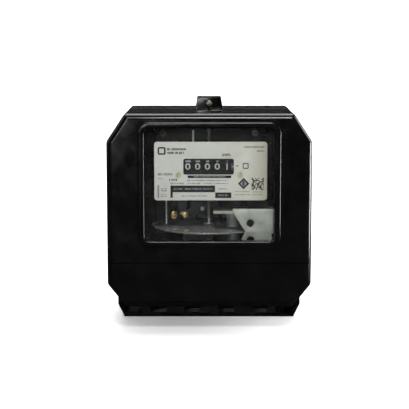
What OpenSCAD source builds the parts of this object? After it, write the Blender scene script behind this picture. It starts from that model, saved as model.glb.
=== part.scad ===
// Single-phase induction watt-hour meter with a five-drum register.
// X runs to the right, Y into the wall, Z up. The origin is the centre of the
// flat back, so the whole meter stands in front of the wall at negative Y.

/* [Case] */
// Width of the case
case_w = 146; // [145:0.2:147]
// Top of the case above the centre of the back
case_top = 73; // [73:0.5:76]
// Bottom of the two covers below the centre of the back
cover_bottom = 66; // [66:0.5:67]
// Bottom of the base below the centre of the back
base_bottom = 86; // [86:0.5:90]
// Depth of the base from the wall
base_d = 45; // [45:0.5:46]
// Depth of the flat front face from the wall
face_d = 102; // [102:0.5:104]
// Wall thickness of the mouldings
wall = 2.6; // [2.4:0.1:3]
// Radius of the front edges
edge_r = 4.5; // [3:0.5:5]
// Width cut off each corner
corner_w = 13.2; // [12:0.2:14]
// Height cut off each upper corner
corner_h = 20; // [18:0.5:20.5]
// Height cut off each lower corner of the covers
foot_corner_h = 16.5; // [15:0.5:17]

/* [Window] */
// Width of the window opening
window_w = 92; // [88:1:94]
// Height of the window opening
window_h = 80; // [76:1:81]
// Height of the middle of the window
window_z = 22.5; // [22:0.5:23]
// Width of the raised rim around the window
rim_w = 4.6; // [3:0.2:5]
// How far the rim stands proud of the face
rim_h = 2; // [1:0.5:3]

/* [Rotor] */
// Radius of the induction disc
disc_r = 42.6; // [40:0.2:42.8]
// Thickness of the induction disc
disc_t = 1.2; // [1:0.1:1.3]
// Height of the disc, measured to its middle
disc_z = -13.4; // [-13.6:0.1:-13.2]
// Distance of the spindle from the wall
spindle_d = 53; // [52.8:0.1:53.2]

/* [Register] */
// Radius of the number drums
drum_r = 8.5; // [8.2:0.1:8.5]
// Distance from one drum to the next
drum_pitch = 7; // [7:0.1:7.2]
// Height of the drum shaft
drum_z = 34.7; // [34.4:0.1:35]
// Module of the register gears
gear_m = 0.3; // [0.28:0.01:0.3]

/* [Nameplate] */
// Width of the nameplate
plate_w = 80.5; // [78:0.5:82]
// Height of the nameplate
plate_h = 42; // [42:0.5:44]

/* [Terminals] */
// Distance between neighbouring terminals
terminal_pitch = 26; // [25:0.5:27]
// Diameter of the wire bore in each terminal
wire_d = 7; // [6:0.5:7.5]
// Diameter of the two lower fixing holes
fixing_d = 5.5; // [4.5:0.5:6]

/* [Hidden] */
$fn = 64;

gap = 0.3;                     // clearance between separate mouldings
side = case_w / 2;
glass_t = 1.8;
gasket_t = 0.8;
glass_front = face_d - wall - gasket_t;
plate_front = 94;
plate_t = 0.8;
plate_x = 1;
plate_z = 31.5;
mask_back = 92.75;             // the black mask between the nameplate and the drums
mask_w = 37.4;
mask_h = 13.4;
mask_hole_w = 4.3;
mask_hole_h = 5.8;
split_z = -33.5;               // the main cover ends here, the terminal cover starts
floor_z = split_z + wall;      // top of the floor under the meter chamber
ear_t = 3.5;
ledge_half = 9;                // seal ledge in front of the ear
ledge_front = 88;
ledge_h = 1.4;
tongue_x = 50;                 // middle of each locating tongue of the main cover
lug_h = 9.4;
lug_half = 10.4;
lug_top_half = 9;
lug_screw_z = case_top + 4.4;
screw_r = 1.5;
base_side = 69.5;               // half width of the lower step of the base
base_step = 76;
base_foot = 64.5;               // half width at the very bottom of the base
entry_side = 7;                // room beside the outer wires in the wire entry
entry_lip = 3;                 // bottom wall left in front of the wire entry
fixing_x = 58;
fixing_z = -74;
shaft_r = 0.75;
bore_clear = 0.05;             // running clearance on a radius
drum_d = 84;                   // distance of the drum shaft from the wall
drum_x0 = -14.5;               // leftmost drum
drum_w = 6;
drum_band = 1.6;               // what the drum's gear side takes from its width
worm_teeth = 50;
pinion_teeth = 10;
reduction_teeth = 80;
drum_teeth = 50;
worm_r = 2.2;
wheel_r = 9.2;                 // tip radius of the worm wheel
wheel_m = wheel_r / (worm_teeth / 2 + 0.8);
worm_lead = 3.1416 * wheel_m;
arbor_d = spindle_d + worm_r + wheel_r + 0.15;
arbor_z = 24.5;
// The reduction arbor sits where both of its meshes have their centre distance.
mesh_slack = 0.12;
mesh_a = gear_m * (pinion_teeth + reduction_teeth) / 2 + mesh_slack;
mesh_b = gear_m * (pinion_teeth + drum_teeth) / 2 + mesh_slack;
span_y = drum_d - arbor_d;
span_z = drum_z - arbor_z;
span = sqrt(span_y * span_y + span_z * span_z);
along = (mesh_a * mesh_a - mesh_b * mesh_b + span * span) / (2 * span);
off = sqrt(mesh_a * mesh_a - along * along);
reduction_d = arbor_d + (along * span_y + off * span_z) / span;
reduction_z = arbor_z + (along * span_z - off * span_y) / span;
transfer_z = drum_z - drum_r - 2.5;
// Directions of the two lines of centres, which set the teeth into mesh.
angle_a = atan2(reduction_z - arbor_z, arbor_d - reduction_d);
angle_b = atan2(drum_z - reduction_z, reduction_d - drum_d);
drum_phase = angle_b + 180 / drum_teeth + 180;
left_plate_x = -20.5;
right_plate_x = 20;
sheet = 1;
tab_screw_z = -71;
block_w = 118;
block_top = -37;
block_bottom = -83.4;
block_front = 44.4;
block_back = 3.6;
block_upper_front = 56;
block_step_z = -60;            // the block is thicker above this height
terminal_d = 24;               // distance of the terminals from the wall
terminal_half = 6;             // half the width of a square terminal
terminal_low = -80;
terminal_top = -44;
terminal_screw_z = [-74, -54];
terminal_screw_r = 2;
pocket_gap = 0.1;              // room for a terminal in its pocket
wire_depth = 30;
tab_screw_grip = 10;
link_z = -45.5;
link_back = 52.1;
link_t = 1.1;
lead_x = 13;                   // current leads
lead_r = 1.7;
fine_lead_x = 30;              // voltage leads
fine_lead_r = 0.7;
lead_d = 10.5;                 // distance of all four leads from the wall
post_x = 36;                   // screwed posts that carry the mechanism frame
post_z = [-22, 52];
hanger_z = 62;
hanger_head_r = 4.4;
hanger_neck_r = 2.3;
hanger_lip = 2.4;              // thickness of the lip that the wall screw's head hooks behind
hanger_depth = 6.5;
frame_screw_r = 1.2;
frame_back = 6.5;
frame_t = 2;
frame_front = frame_back + frame_t;
yoke_z = -29;                  // underside of the yoke under the spindle
register_arm_z = 38;
register_back = 57;
register_front = 93;
register_low = 15;
transfer_shaft_r = 0.5;
register_top = 47;
magnet_arm_x = 46.4;
small_screw_r = 1;
register_screw_z = [41, 45];
register_screw_d = 59;
magnet_screw_z = [-9.5, -4.5];
magnet_screw_d = 84;
plate_screw_x = 22;
plate_screw_z = 28.7;
aperture_w = 36;
aperture_h = 11.4;
creep_hole_r = 1;
creep_hole_x = 31;             // distance of the anti-creep holes from the spindle
bracket_front = 91.5;
core_back = 16;
core_front = 34;
coil_x = 13;                   // the two current coils under the disc
clamp_front = 47.6;
clamp_screw_x = -5;
clamp_screw_z = -2;
friction_x = -26;
friction_z = -5.6;
creep_x = -17.4;
creep_z = -4.4;
adjuster_front = 60;
clip_x = -32.3;
magnet_x = 17.5;
magnet_d = 74;
magnet_r = 4.6;
bridge_z = 61;                 // underside of the bridge over the spindle

// ---- outlines -------------------------------------------------------------

// Right-hand half points of the eight-sided cover, grown by g.
function cover_right(g) = [
    [side - corner_w + g * 0.62, case_top + g], [side + g, case_top - corner_h + g * 0.5],
    [side + g, -cover_bottom + foot_corner_h - g * 0.5],
    [side - corner_w + g * 0.62, -cover_bottom - g]];

function mirrored(p) = [for (i = [len(p) - 1 : -1 : 0]) [-p[i][0], p[i][1]]];

module cover_outline(g = 0) {
    p = cover_right(g);
    polygon(concat(p, mirrored(p)));
}

module base_outline(g = 0) {
    p = [[side - corner_w + g * 0.62, case_top + g], [side + g, case_top - corner_h + g * 0.5],
        [side + g, -58], [base_side + g, -63], [base_side + g, -base_step],
        [base_foot + g * 0.62, -base_bottom - g]];
    polygon(concat(p, mirrored(p)));
}

module rounded_rect(w, h, r) {
    square([w - 2 * r, h], center = true);
    square([w, h - 2 * r], center = true);
    for (x = [-1, 1], z = [-1, 1]) translate([x * (w / 2 - r), z * (h / 2 - r)]) circle(r);
}

// Stands a flat XZ outline up, from distance d0 to distance d1 off the wall.
module slab(d0, d1) {
    translate([0, -d0, 0]) rotate([90, 0, 0]) linear_extrude(d1 - d0) children();
}

// A cylinder along Y, from distance d0 to d1 off the wall.
module rod_y(x, z, r, d0, d1) {
    translate([x, -d0, z]) rotate([90, 0, 0]) cylinder(r = r, h = d1 - d0);
}

// A cylinder along X, at distance d off the wall.
module rod_x(d, z, r, x0, x1) {
    translate([x0, -d, z]) rotate([0, 90, 0]) cylinder(r = r, h = x1 - x0);
}

module block(x0, x1, d0, d1, z0, z1) {
    translate([x0, -d1, z0]) cube([x1 - x0, d1 - d0, z1 - z0]);
}

// An upright hole or wire at the leads' distance from the wall.
module lead_hole(x, r, z, h) {
    translate([x, -lead_d, z]) cylinder(r = r, h = h);
}

// The closed eight-sided form of both covers, with its rounded front edge.
module cover_form(g, front) {
    hull() {
        slab(base_d + gap - 1, front - edge_r) cover_outline(g);
        for (a = [30, 60, 90])
            slab(front - edge_r, front - edge_r * (1 - sin(a)))
                cover_outline(g - edge_r * (1 - cos(a)));
    }
}

module above_split() { block(-100, 100, base_d + gap, 120, split_z, 100); }

module below_split() { block(-100, 100, base_d + gap, 120, -120, split_z - 0.4); }

module slotted_head(x, z, r, d0, h) {
    difference() {
        rod_y(x, z, r, d0, d0 + h);
        block(x - r - 1, x + r + 1, d0 + h * 0.55, d0 + h + 1, z - 0.35, z + 0.35);
    }
}

// ---- case -----------------------------------------------------------------

module ear_outline() {
    polygon([[-lug_half, case_top - 2], [lug_half, case_top - 2],
        [lug_half - 0.3, case_top + 1], [lug_top_half, case_top + lug_h - 0.6],
        [lug_top_half - 0.8, case_top + lug_h], [-lug_top_half + 0.8, case_top + lug_h],
        [-lug_top_half, case_top + lug_h - 0.6], [-lug_half + 0.3, case_top + 1]]);
}

module base() color("#151515") {
    difference() {
        union() {
            difference() {
                slab(0, base_d) base_outline();
                slab(3.4, base_d + 1) base_outline(-wall);
            }
            // floor between the meter chamber and the terminal chamber
            difference() {
                block(-side + 1, side - 1, 3, base_d, split_z, floor_z);
                for (x = [-lead_x, lead_x]) lead_hole(x, lead_r + 0.9, split_z - 6, 20);
                for (x = [-fine_lead_x, fine_lead_x]) lead_hole(x, fine_lead_r + 0.7, split_z - 6, 20);
            }
            slab(35, base_d) ear_outline();
            // posts for the mechanism frame
            for (x = [-post_x, post_x], z = post_z) rod_y(x, z, 4, 3, frame_back - 0.2);
            // hanger boss on the inside of the back
            rod_y(0, hanger_z, 8, 3, 9);
        }
        rod_y(0, lug_screw_z, screw_r + bore_clear, 30, base_d + 1);
        for (x = [-post_x, post_x], z = post_z) rod_y(x, z, frame_screw_r + bore_clear, 1.5, 7);
        for (x = [-fixing_x, fixing_x]) rod_y(x, fixing_z, fixing_d / 2, -1, 8);
        // blind keyhole that hangs on a wall screw
        rod_y(0, hanger_z - 3, hanger_head_r + 0.2, -1, hanger_depth);
        rod_y(0, hanger_z + 4, hanger_neck_r, -1, hanger_lip);
        block(-hanger_neck_r, hanger_neck_r, -1, hanger_lip, hanger_z - 3, hanger_z + 4);
        block(-hanger_head_r, hanger_head_r, hanger_lip, hanger_depth, hanger_z - 3, hanger_z + 4);
        // wire entry through the bottom wall, below all four terminals
        block(terminal_x(0) - entry_side, terminal_x(3) + entry_side, terminal_d - entry_side,
            base_d - entry_lip, -base_bottom - 1, -base_bottom + wall + 1);
    }
}

module window_hole(grow, d0, d1) {
    slab(d0, d1) translate([0, window_z])
        rounded_rect(window_w + 2 * grow, window_h + 2 * grow, 4 + grow);
}

module cover() color("#101010") {
    difference() {
        union() {
            intersection() {
                difference() {
                    cover_form(0, face_d);
                    cover_form(-wall, face_d - wall);
                }
                above_split();
            }
            // bottom wall of the meter chamber
            block(-side + 1, side - 1, base_d + gap, face_d - 2, split_z, floor_z);
            // raised rim, and the land behind it that the gasket seats on
            difference() {
                window_hole(rim_w, face_d - wall + 0.2, face_d + rim_h);
                window_hole(0, face_d - 10, face_d + 5);
            }
            // ear, the seal ledge in front of it, and two locating tongues at the bottom
            slab(base_d + gap, base_d + ear_t) ear_outline();
            difference() {
                block(-ledge_half, ledge_half, base_d + gap, ledge_front, case_top - 1, case_top + ledge_h);
                block(-1.4, 1.4, base_d + ear_t, ledge_front + 1, case_top + 0.2, case_top + 2);
            }
            for (x = [-tongue_x, tongue_x]) {
                block(x - 5, x + 5, base_d - 6, base_d + 12, floor_z + 0.2, floor_z + 2);
                block(x - 5, x + 5, base_d + 1, base_d + 12, floor_z - 1, floor_z + 1);
            }
        }
        window_hole(0, face_d - 10, face_d + 5);
        rod_y(0, lug_screw_z, screw_r + 0.15, base_d - 1, base_d + 5);
    }
}

module terminal_cover() color("#101010") {
    difference() {
        union() {
            intersection() {
                difference() {
                    cover_form(0, face_d);
                    cover_form(-wall, face_d - wall);
                }
                below_split();
            }
            slab(base_d + gap, base_d + 3.2) tab_outline();
        }
        rod_y(0, tab_screw_z, screw_r + 0.15, base_d - 1, base_d + 5);
    }
}

module tab_outline() {
    polygon([[-6, -cover_bottom + 1], [6, -cover_bottom + 1], [6, tab_screw_z - 1],
        [4, tab_screw_z - 4], [-4, tab_screw_z - 4], [-6, tab_screw_z - 1]]);
}

module window_glass() color([0.8, 0.9, 0.9, 0.3]) {
    slab(glass_front - glass_t, glass_front) translate([0, window_z])
        rounded_rect(window_w + 9, window_h + 9, 7);
}

module window_gasket() color("#222222") {
    difference() {
        window_hole(3.4, glass_front + 0.05, face_d - wall - 0.05);
        window_hole(1, glass_front - 1, face_d);
    }
}

module cover_gasket() color("#2b2b2b") {
    // a flat ring in the joint between the base and the main cover
    difference() {
        slab(base_d + 0.02, base_d + gap - 0.02) intersection() {
            cover_outline(-0.6);
            translate([-100, split_z + 0.6]) square([200, 200]);
        }
        slab(base_d - 1, base_d + 1) intersection() {
            cover_outline(-wall + 0.4);
            translate([-100, split_z + wall - 0.4]) square([200, 200]);
        }
    }
}

module cover_screw() color("#b9a878") {
    rod_y(0, lug_screw_z, screw_r, base_d - 8, base_d + 3.6);
    intersection() {
        translate([0, -base_d - 2.6, lug_screw_z]) sphere(r = 2.9);
        slotted_head(0, lug_screw_z, 2.2, base_d + 3.55, 2);
    }
}

module terminal_cover_screw() color("#26262a") {
    rod_y(0, tab_screw_z, screw_r, block_front - 8, base_d + 3.3);
    slotted_head(0, tab_screw_z, 2.4, base_d + 3.25, 1.8);
}

// ---- terminals ------------------------------------------------------------

function terminal_x(i) = (i - 1.5) * terminal_pitch;

module terminal_block() color("#1c1917") {
    difference() {
        union() {
            block(-block_w / 2, block_w / 2, block_back, block_front, block_bottom, block_step_z);
            block(-block_w / 2, block_w / 2, block_back, block_upper_front, block_step_z, block_top);
        }
        for (i = [0 : 3]) {
            x = terminal_x(i);
            // chamber of the brass terminal, open to the front and to the wires below
            block(x - terminal_half - pocket_gap, x + terminal_half + pocket_gap,
                terminal_d - terminal_half - pocket_gap, block_upper_front + 1,
                block_bottom - 1, terminal_top + pocket_gap);
        }
        rod_y(0, tab_screw_z, screw_r + bore_clear, block_front - tab_screw_grip, block_front + 1);
        // corners cut away over the two fixing holes
        block(-side, -fixing_x + 7, 0, block_upper_front, block_bottom - 1, fixing_z + 7);
        block(fixing_x - 7, side, 0, block_upper_front, block_bottom - 1, fixing_z + 7);
        for (x = [-lead_x, lead_x]) lead_hole(x, lead_r + 0.4, block_top - 7, 10);
        for (x = [-fine_lead_x, fine_lead_x]) lead_hole(x, fine_lead_r + 0.3, block_top - 7, 10);
        // front recess for the voltage link
        block(terminal_x(0) - 5, terminal_x(1) + 5, link_back - 0.1, block_upper_front + 1,
            link_z - 3, link_z + 3);
    }
}

module terminals() color("#c8a24a") {
    for (i = [0 : 3]) {
        x = terminal_x(i);
        difference() {
            block(x - terminal_half, x + terminal_half, terminal_d - terminal_half,
                terminal_d + terminal_half, terminal_low, terminal_top);
            translate([x, -terminal_d, terminal_low - 1]) cylinder(r = wire_d / 2, h = wire_depth + 1);
            for (z = terminal_screw_z)
                rod_y(x, z, terminal_screw_r + bore_clear, terminal_d, terminal_d + 8);
        }
    }
}

module terminal_screws() color("#a9a9a4") {
    for (i = [0 : 3], z = terminal_screw_z) {
        rod_y(terminal_x(i), z, terminal_screw_r, terminal_d + wire_d / 2 + 0.1, terminal_d + 9);
        slotted_head(terminal_x(i), z, 3.4, terminal_d + 8.95, 3);
    }
}

module voltage_link() color("#c8a24a") {
    difference() {
        block(terminal_x(0) - 4, terminal_x(1) + 4, link_back, link_back + link_t,
            link_z - 2.5, link_z + 2.5);
        rod_y(terminal_x(1), link_z, 1.3, link_back - 1, link_back + link_t + 1);
    }
}

module voltage_link_screw() color("#a9a9a4") {
    rod_y(terminal_x(1), link_z, 1.2, link_back + 0.1, link_back + link_t + 0.1);
    slotted_head(terminal_x(1), link_z, 2.2, link_back + link_t + 0.05, 1.6);
}

// ---- frame and electromagnets ---------------------------------------------

module mechanism_frame() color("#9a9c9a") {
    difference() {
        union() {
            block(-41, 41, frame_back, frame_front, -27, bridge_z + frame_t);
            // upper bridge that carries the top bearing
            block(-7, 7, frame_back, spindle_d + 5, bridge_z, bridge_z + frame_t);
            block(-16, 16, frame_back, 24, bridge_z, bridge_z + frame_t);
            // lower yoke that carries the bottom bearing
            for (x = [-27, 23]) block(x, x + 4, frame_back, spindle_d + 5, yoke_z, yoke_z + frame_t);
            block(-27, 27, spindle_d - 5, spindle_d + 5, yoke_z, yoke_z + frame_t);
            // two arms that hold the register
            for (x = [-26.2, 24.2]) block(x, x + frame_t, frame_back, 64, register_arm_z, register_top);
            // arm that holds the brake magnet
            block(magnet_arm_x, magnet_arm_x + frame_t, frame_back, 90, -12, -2);
            block(39, magnet_arm_x + frame_t, frame_back, frame_front, -12, -2);
        }
        block(-25, 25, 5, 10, -26.5, 46);
        // room for the hanger boss of the base
        rod_y(0, hanger_z, 8.5, 5, 9.5);
        for (x = [-post_x, post_x], z = post_z) rod_y(x, z, frame_screw_r + 0.3, 5, 10);
        translate([0, -spindle_d, bridge_z - 1]) cylinder(r = 2.05, h = 4);
        translate([0, -spindle_d, -32]) cylinder(r = 3.05, h = 8);
        for (z = register_screw_z) rod_x(register_screw_d, z, small_screw_r + bore_clear, -30, 30);
        for (z = magnet_screw_z) rod_x(magnet_screw_d, z, small_screw_r + bore_clear, 44, 52);
    }
}

module frame_screws() color("#a9a9a4") {
    for (x = [-post_x, post_x], z = post_z) {
        rod_y(x, z, frame_screw_r, 2.2, frame_front + 0.1);
        slotted_head(x, z, 2.6, frame_front + 0.05, 1.8);
    }
}

module voltage_core() color("#4a4d50") {
    difference() {
        block(-24, 24, core_back, core_front, -11.2, 42);
        for (x = [-17, 7]) block(x, x + 10, core_back - 1, core_front + 1, -4, 34);
        for (x = [-10, 8.5]) block(x, x + 1.5, core_back - 1, core_front + 1, -12, -3);
    }
}

module voltage_coil() color("#7b2f1c") {
    difference() {
        union() {
            block(-15.5, 15.5, core_back - 5, core_front + 5, 6, 30);
            for (z = [3.6, 30]) block(-16.6, 16.6, core_back - 6, core_front + 6, z, z + 2.4);
        }
        block(-7.2, 7.2, core_back - 0.2, core_front + 0.2, 3, 33);
    }
}

module current_core() color("#4a4d50") {
    block(-20, 20, core_front - 14, core_front, -28.6, -24.4);
    for (s = [-1, 1])
        block(s * coil_x - 3.5, s * coil_x + 3.5, core_front - 14, core_front, -24.5, -15.7);
}

module current_coils() color("#a5562c") {
    for (s = [-1, 1]) difference() {
        block(s * coil_x - 6.6, s * coil_x + 6.6, core_front - 17.4, core_front + 3.4, -24.1, -16.6);
        block(s * coil_x - 3.7, s * coil_x + 3.7, core_front - 14.2, core_front + 0.2, -25, -16);
    }
}

module current_leads() color("#a5562c") {
    for (x = [-lead_x, lead_x]) {
        lead_hole(x, lead_r, block_top - 6.6, 26);
        block(x - lead_r, x + lead_r, lead_d, core_back + 0.5, -21, -17.6);
    }
}

module voltage_leads() color("#b02a20") {
    for (s = [-1, 1]) {
        x = s * fine_lead_x;
        lead_hole(x, fine_lead_r, block_top - 6.8, 49);
        block(min(x, s * 16.8), max(x, s * 16.8), lead_d - 0.6, lead_d + 0.6, 4, 5.2);
    }
}

module lag_clamp() color("#3d4144") {
    difference() {
        union() {
            block(-14, -1.6, 40.3, clamp_front, -7, 3.2);
            block(-10, clamp_screw_x, core_front + 0.05, 41, -7, 1);
        }
        rod_y(clamp_screw_x, clamp_screw_z, small_screw_r + bore_clear, 44, 50);
    }
}

module lag_clamp_screw() color("#b8b8b0") {
    rod_y(clamp_screw_x, clamp_screw_z, small_screw_r, 44.5, clamp_front + 0.1);
    slotted_head(clamp_screw_x, clamp_screw_z, 1.5, clamp_front + 0.05, 1);
}

module friction_adjuster() color("#c39a45") {
    rod_y(friction_x, friction_z, small_screw_r, frame_front + 0.1, adjuster_front);
    slotted_head(friction_x, friction_z, 2.2, adjuster_front - 0.05, 2);
    rod_y(friction_x, friction_z, 2.6, adjuster_front - 8, adjuster_front - 6);
}

module creep_adjuster() color("#d0a850") {
    rod_y(creep_x, creep_z, small_screw_r, core_front + 0.05, adjuster_front);
    slotted_head(creep_x, creep_z, 2, adjuster_front - 0.05, 2);
    block(creep_x - 4.1, creep_x, adjuster_front - 4, adjuster_front - 2.5, creep_z - 1, creep_z + 1);
}

module lead_clip() color("#c8c8c4") {
    block(clip_x, clip_x + 1.2, 61.2, 63.4, -11.5, register_top - 1);
    block(clip_x, -26.25, 61.2, 62.4, 40, register_top - 1);
}

// ---- brake magnet ---------------------------------------------------------

module brake_magnet() color("#a4a6a2") {
    translate([magnet_x, -magnet_d, disc_z + 2]) cylinder(r = magnet_r, h = 11.4);
    translate([magnet_x, -magnet_d, disc_z - 12.6]) cylinder(r = magnet_r, h = 10.4);
}

module bracket_face() {
    difference() {
        polygon([[16.8, 4], [45, 4], [45, -18.6], [23, -18.6], [26, -12.6], [16.8, 1.6]]);
        translate([29.6, -6.4]) circle(r = 2.75);
        translate([29.8, -18.8]) circle(r = 2.9);
    }
}

module magnet_bracket() color("#b4b8b0") {
    slab(bracket_front - 1.6, bracket_front) bracket_face();
    // flange on the frame arm
    difference() {
        block(44.6, 46.2, 78, bracket_front, -14, 4);
        for (z = magnet_screw_z) rod_x(magnet_screw_d, z, small_screw_r + bore_clear, 40, 50);
    }
    // arms above and below the disc
    block(3, 45, 68, bracket_front - 1, 0.2, 2.2);
    block(12, 45, 68, 90.5, disc_z - 15.2, disc_z - 12.8);
    block(43.4, 45, 88, bracket_front, disc_z - 15.2, -18);
}

module magnet_screws() color("#a9a9a4") {
    for (z = magnet_screw_z) {
        rod_x(magnet_screw_d, z, small_screw_r, magnet_arm_x - 0.2, magnet_arm_x + 2.1);
        rod_x(magnet_screw_d, z, 1.9, magnet_arm_x + 2.05, magnet_arm_x + 3.5);
    }
}

// ---- rotor ----------------------------------------------------------------

module disc() color("#c9ccce") {
    translate([0, -spindle_d, disc_z - disc_t / 2]) difference() {
        cylinder(r = disc_r, h = disc_t);
        translate([0, 0, -1]) cylinder(r = 1.6, h = 4);
        // two holes that stop the disc from creeping at no load
        for (s = [-1, 1]) translate([s * creep_hole_x, 0, -1]) cylinder(r = creep_hole_r, h = 4);
    }
}

module disc_hub() color("#b8bab8") {
    translate([0, -spindle_d, disc_z]) difference() {
        union() {
            translate([0, 0, disc_t / 2]) cylinder(r = 4, h = 1.6);
            translate([0, 0, -disc_t / 2 - 1.6]) cylinder(r = 4, h = 1.6);
            translate([0, 0, -3]) cylinder(r = 1.55, h = 9);
        }
        translate([0, 0, -5]) cylinder(r = 1.2, h = 20);
    }
}

module spindle() color("#8d8478") {
    translate([0, -spindle_d, 0]) {
        translate([0, 0, -22.4]) cylinder(r = 1.2, h = 72.4);
        translate([0, 0, -25.2]) cylinder(r = 0.5, h = 3);
        translate([0, 0, 49.9]) cylinder(r = 0.5, h = 5);
    }
}

module worm() color("#c39a45") {
    turns = 6;
    thread_h = turns * worm_lead;
    translate([0, -spindle_d, arbor_z - thread_h / 2])
        linear_extrude(thread_h, twist = -360 * turns, slices = 8 * turns, $fn = 12) difference() {
            translate([0.3, 0]) circle(r = worm_r - 0.3, $fn = 12);
            circle(r = 1.38, $fn = 12);
        }
}

module upper_bearing() color("#c8c8c4") {
    translate([0, -spindle_d, 0]) difference() {
        union() {
            translate([0, 0, 51.5]) cylinder(r = 1.6, h = 6);
            translate([0, 0, 57]) cylinder(r = 2, h = bridge_z - 54);
            translate([0, 0, bridge_z + 2.1]) cylinder(r = 3, h = 1.4);
        }
        translate([0, 0, 50]) cylinder(r = 0.56, h = 6);
    }
}

module lower_bearing() color("#c39a45") {
    translate([0, -spindle_d, 0]) difference() {
        union() {
            translate([0, 0, -29]) cylinder(r = 3, h = 6);
            translate([0, 0, -26.9]) cylinder(r = 4, h = 1.4);
        }
        translate([0, 0, -25.4]) cylinder(r = 0.56, h = 6);
    }
}

// ---- register -------------------------------------------------------------

// A spur gear outline with trapezoid teeth, as one polygon.
module spur_outline(teeth, m, phase = 0) {
    root = m * (teeth / 2 - 1.1);
    tip = m * (teeth / 2 + 0.8);
    step = 360 / teeth;
    polygon([for (i = [0 : teeth - 1], c = [[-0.27, root], [-0.1, tip], [0.1, tip], [0.27, root]])
        let (a = phase + (i + c[0]) * step) [c[1] * cos(a), c[1] * sin(a)]]);
}

module gear_x(d, z, teeth, m, x0, x1, bore, phase = 0) {
    translate([x0, -d, z]) rotate([90, 0, 90]) linear_extrude(x1 - x0) difference() {
        spur_outline(teeth, m, phase);
        circle(r = bore);
    }
}

module nameplate() color("#dcdedb") {
    slab(plate_front - plate_t, plate_front) translate([plate_x, plate_z]) difference() {
        rounded_rect(plate_w, plate_h, 2.2);
        translate([drum_x(2) - plate_x, drum_z - plate_z]) rounded_rect(aperture_w, aperture_h, 1.4);
        for (x = [-plate_screw_x, plate_screw_x])
            translate([x - plate_x, plate_screw_z - plate_z]) circle(r = small_screw_r + 0.1);
    }
}

module nameplate_screws() color("#a59a5c") {
    for (x = [-plate_screw_x, plate_screw_x]) {
        rod_y(x, plate_screw_z, small_screw_r, 90, plate_front + 0.1);
        slotted_head(x, plate_screw_z, 1.9, plate_front + 0.05, 1);
    }
}

module register_mask() color("#0c0c0d") {
    slab(mask_back, plate_front - plate_t) difference() {
        translate([drum_x(2), drum_z]) rounded_rect(mask_w, mask_h, 1.4);
        // one window over the numeral band of each drum
        for (i = [0 : 4]) {
            translate([drum_x(i) - drum_band / 2, drum_z]) rounded_rect(mask_hole_w, mask_hole_h, 0.4);
        }
    }
}

module register_side(x) {
    difference() {
        block(x, x + sheet, register_back, register_front, register_low, register_top);
        rod_x(drum_d, drum_z, shaft_r + bore_clear, x - 1, x + 3);
        rod_x(drum_d, transfer_z, transfer_shaft_r + bore_clear, x - 1, x + 3);
        rod_x(arbor_d, arbor_z, shaft_r + bore_clear, x - 1, x + 3);
        if (x > 0) rod_x(reduction_d, reduction_z, shaft_r + bore_clear, x - 1, x + 3);
        for (z = register_screw_z) rod_x(register_screw_d, z, small_screw_r + bore_clear, x - 1, x + 3);
    }
}

module register_frame() color("#b0b2ae") {
    register_side(left_plate_x);
    register_side(right_plate_x);
    block(left_plate_x, right_plate_x + sheet, 70, register_front, register_top - sheet, register_top);
    block(left_plate_x, right_plate_x + sheet, 78, register_front, register_low, register_low + sheet);
    // upright tongue on the top plate
    block(-12.2, -10.8, 84, 88, register_top - 0.5, register_top + 13);
    // front flanges that carry the nameplate
    for (s = [-1, 1]) difference() {
        block(s < 0 ? -27 : right_plate_x, s < 0 ? left_plate_x + sheet : 27,
            register_front - 2, register_front, 20, register_top);
        rod_y(s * plate_screw_x, plate_screw_z, small_screw_r + bore_clear, 89, 94);
    }
    // rear tabs against the arms of the frame
    difference() {
        union() {
            block(-24, left_plate_x + 0.5, register_back, register_back + sheet,
                register_arm_z, register_top);
            block(right_plate_x + 0.5, 24, register_back, register_back + sheet,
                register_arm_z, register_top);
            for (x = [-24.1, 23.1])
                block(x, x + sheet, register_back, register_back + 6, register_arm_z, register_top);
        }
        for (x = [-25, 22.5], z = register_screw_z)
            rod_x(register_screw_d, z, small_screw_r + bore_clear, x, x + 2.5);
    }
}

module register_screws() color("#a9a9a4") {
    for (s = [-1, 1], z = register_screw_z) {
        rod_x(register_screw_d, z, small_screw_r, s < 0 ? -26.3 : 23.2, s < 0 ? -23.2 : 26.3);
        rod_x(register_screw_d, z, 1.8, s < 0 ? -27.6 : 26.25, s < 0 ? -26.25 : 27.6);
    }
}

module drum_shaft() color("#a9a9a4") {
    rod_x(drum_d, drum_z, shaft_r, left_plate_x - 0.6, right_plate_x + sheet + 0.6);
}

function drum_x(i) = drum_x0 + i * drum_pitch;

// One number drum; the last one also carries the driven gear.
module number_drum(i) color("#f0f0ec") {
    x = drum_x(i) - drum_w / 2;
    difference() {
        union() {
            rod_x(drum_d, drum_z, drum_r, x, x + drum_w - drum_band);
            rod_x(drum_d, drum_z, drum_r - 1.6, x + drum_w - 1.7, x + drum_w - 1.2);
            gear_x(drum_d, drum_z, 20, 0.78, x + drum_w - 1.3, x + drum_w, 1);
        }
        rod_x(drum_d, drum_z, shaft_r + bore_clear, x - 1, x + drum_w + 4);
        rod_x(drum_d, drum_z, drum_r - 1.5, x - 1, x + 2.4);
    }
    difference() {
        rod_x(drum_d, drum_z, 2, x, x + drum_w);
        rod_x(drum_d, drum_z, shaft_r + bore_clear, x - 1, x + drum_w + 1);
    }
}

module drum_1() number_drum(0);
module drum_2() number_drum(1);
module drum_3() number_drum(2);
module drum_4() number_drum(3);
module drum_5() {
    number_drum(4);
    color("#c39a45")
        gear_x(drum_d, drum_z, drum_teeth, gear_m, 17, 18.1, shaft_r + bore_clear, drum_phase);
    difference() {
        rod_x(drum_d, drum_z, 4, 16.4, 17.1);
        rod_x(drum_d, drum_z, shaft_r + bore_clear, 16, 18);
    }
}

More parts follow.
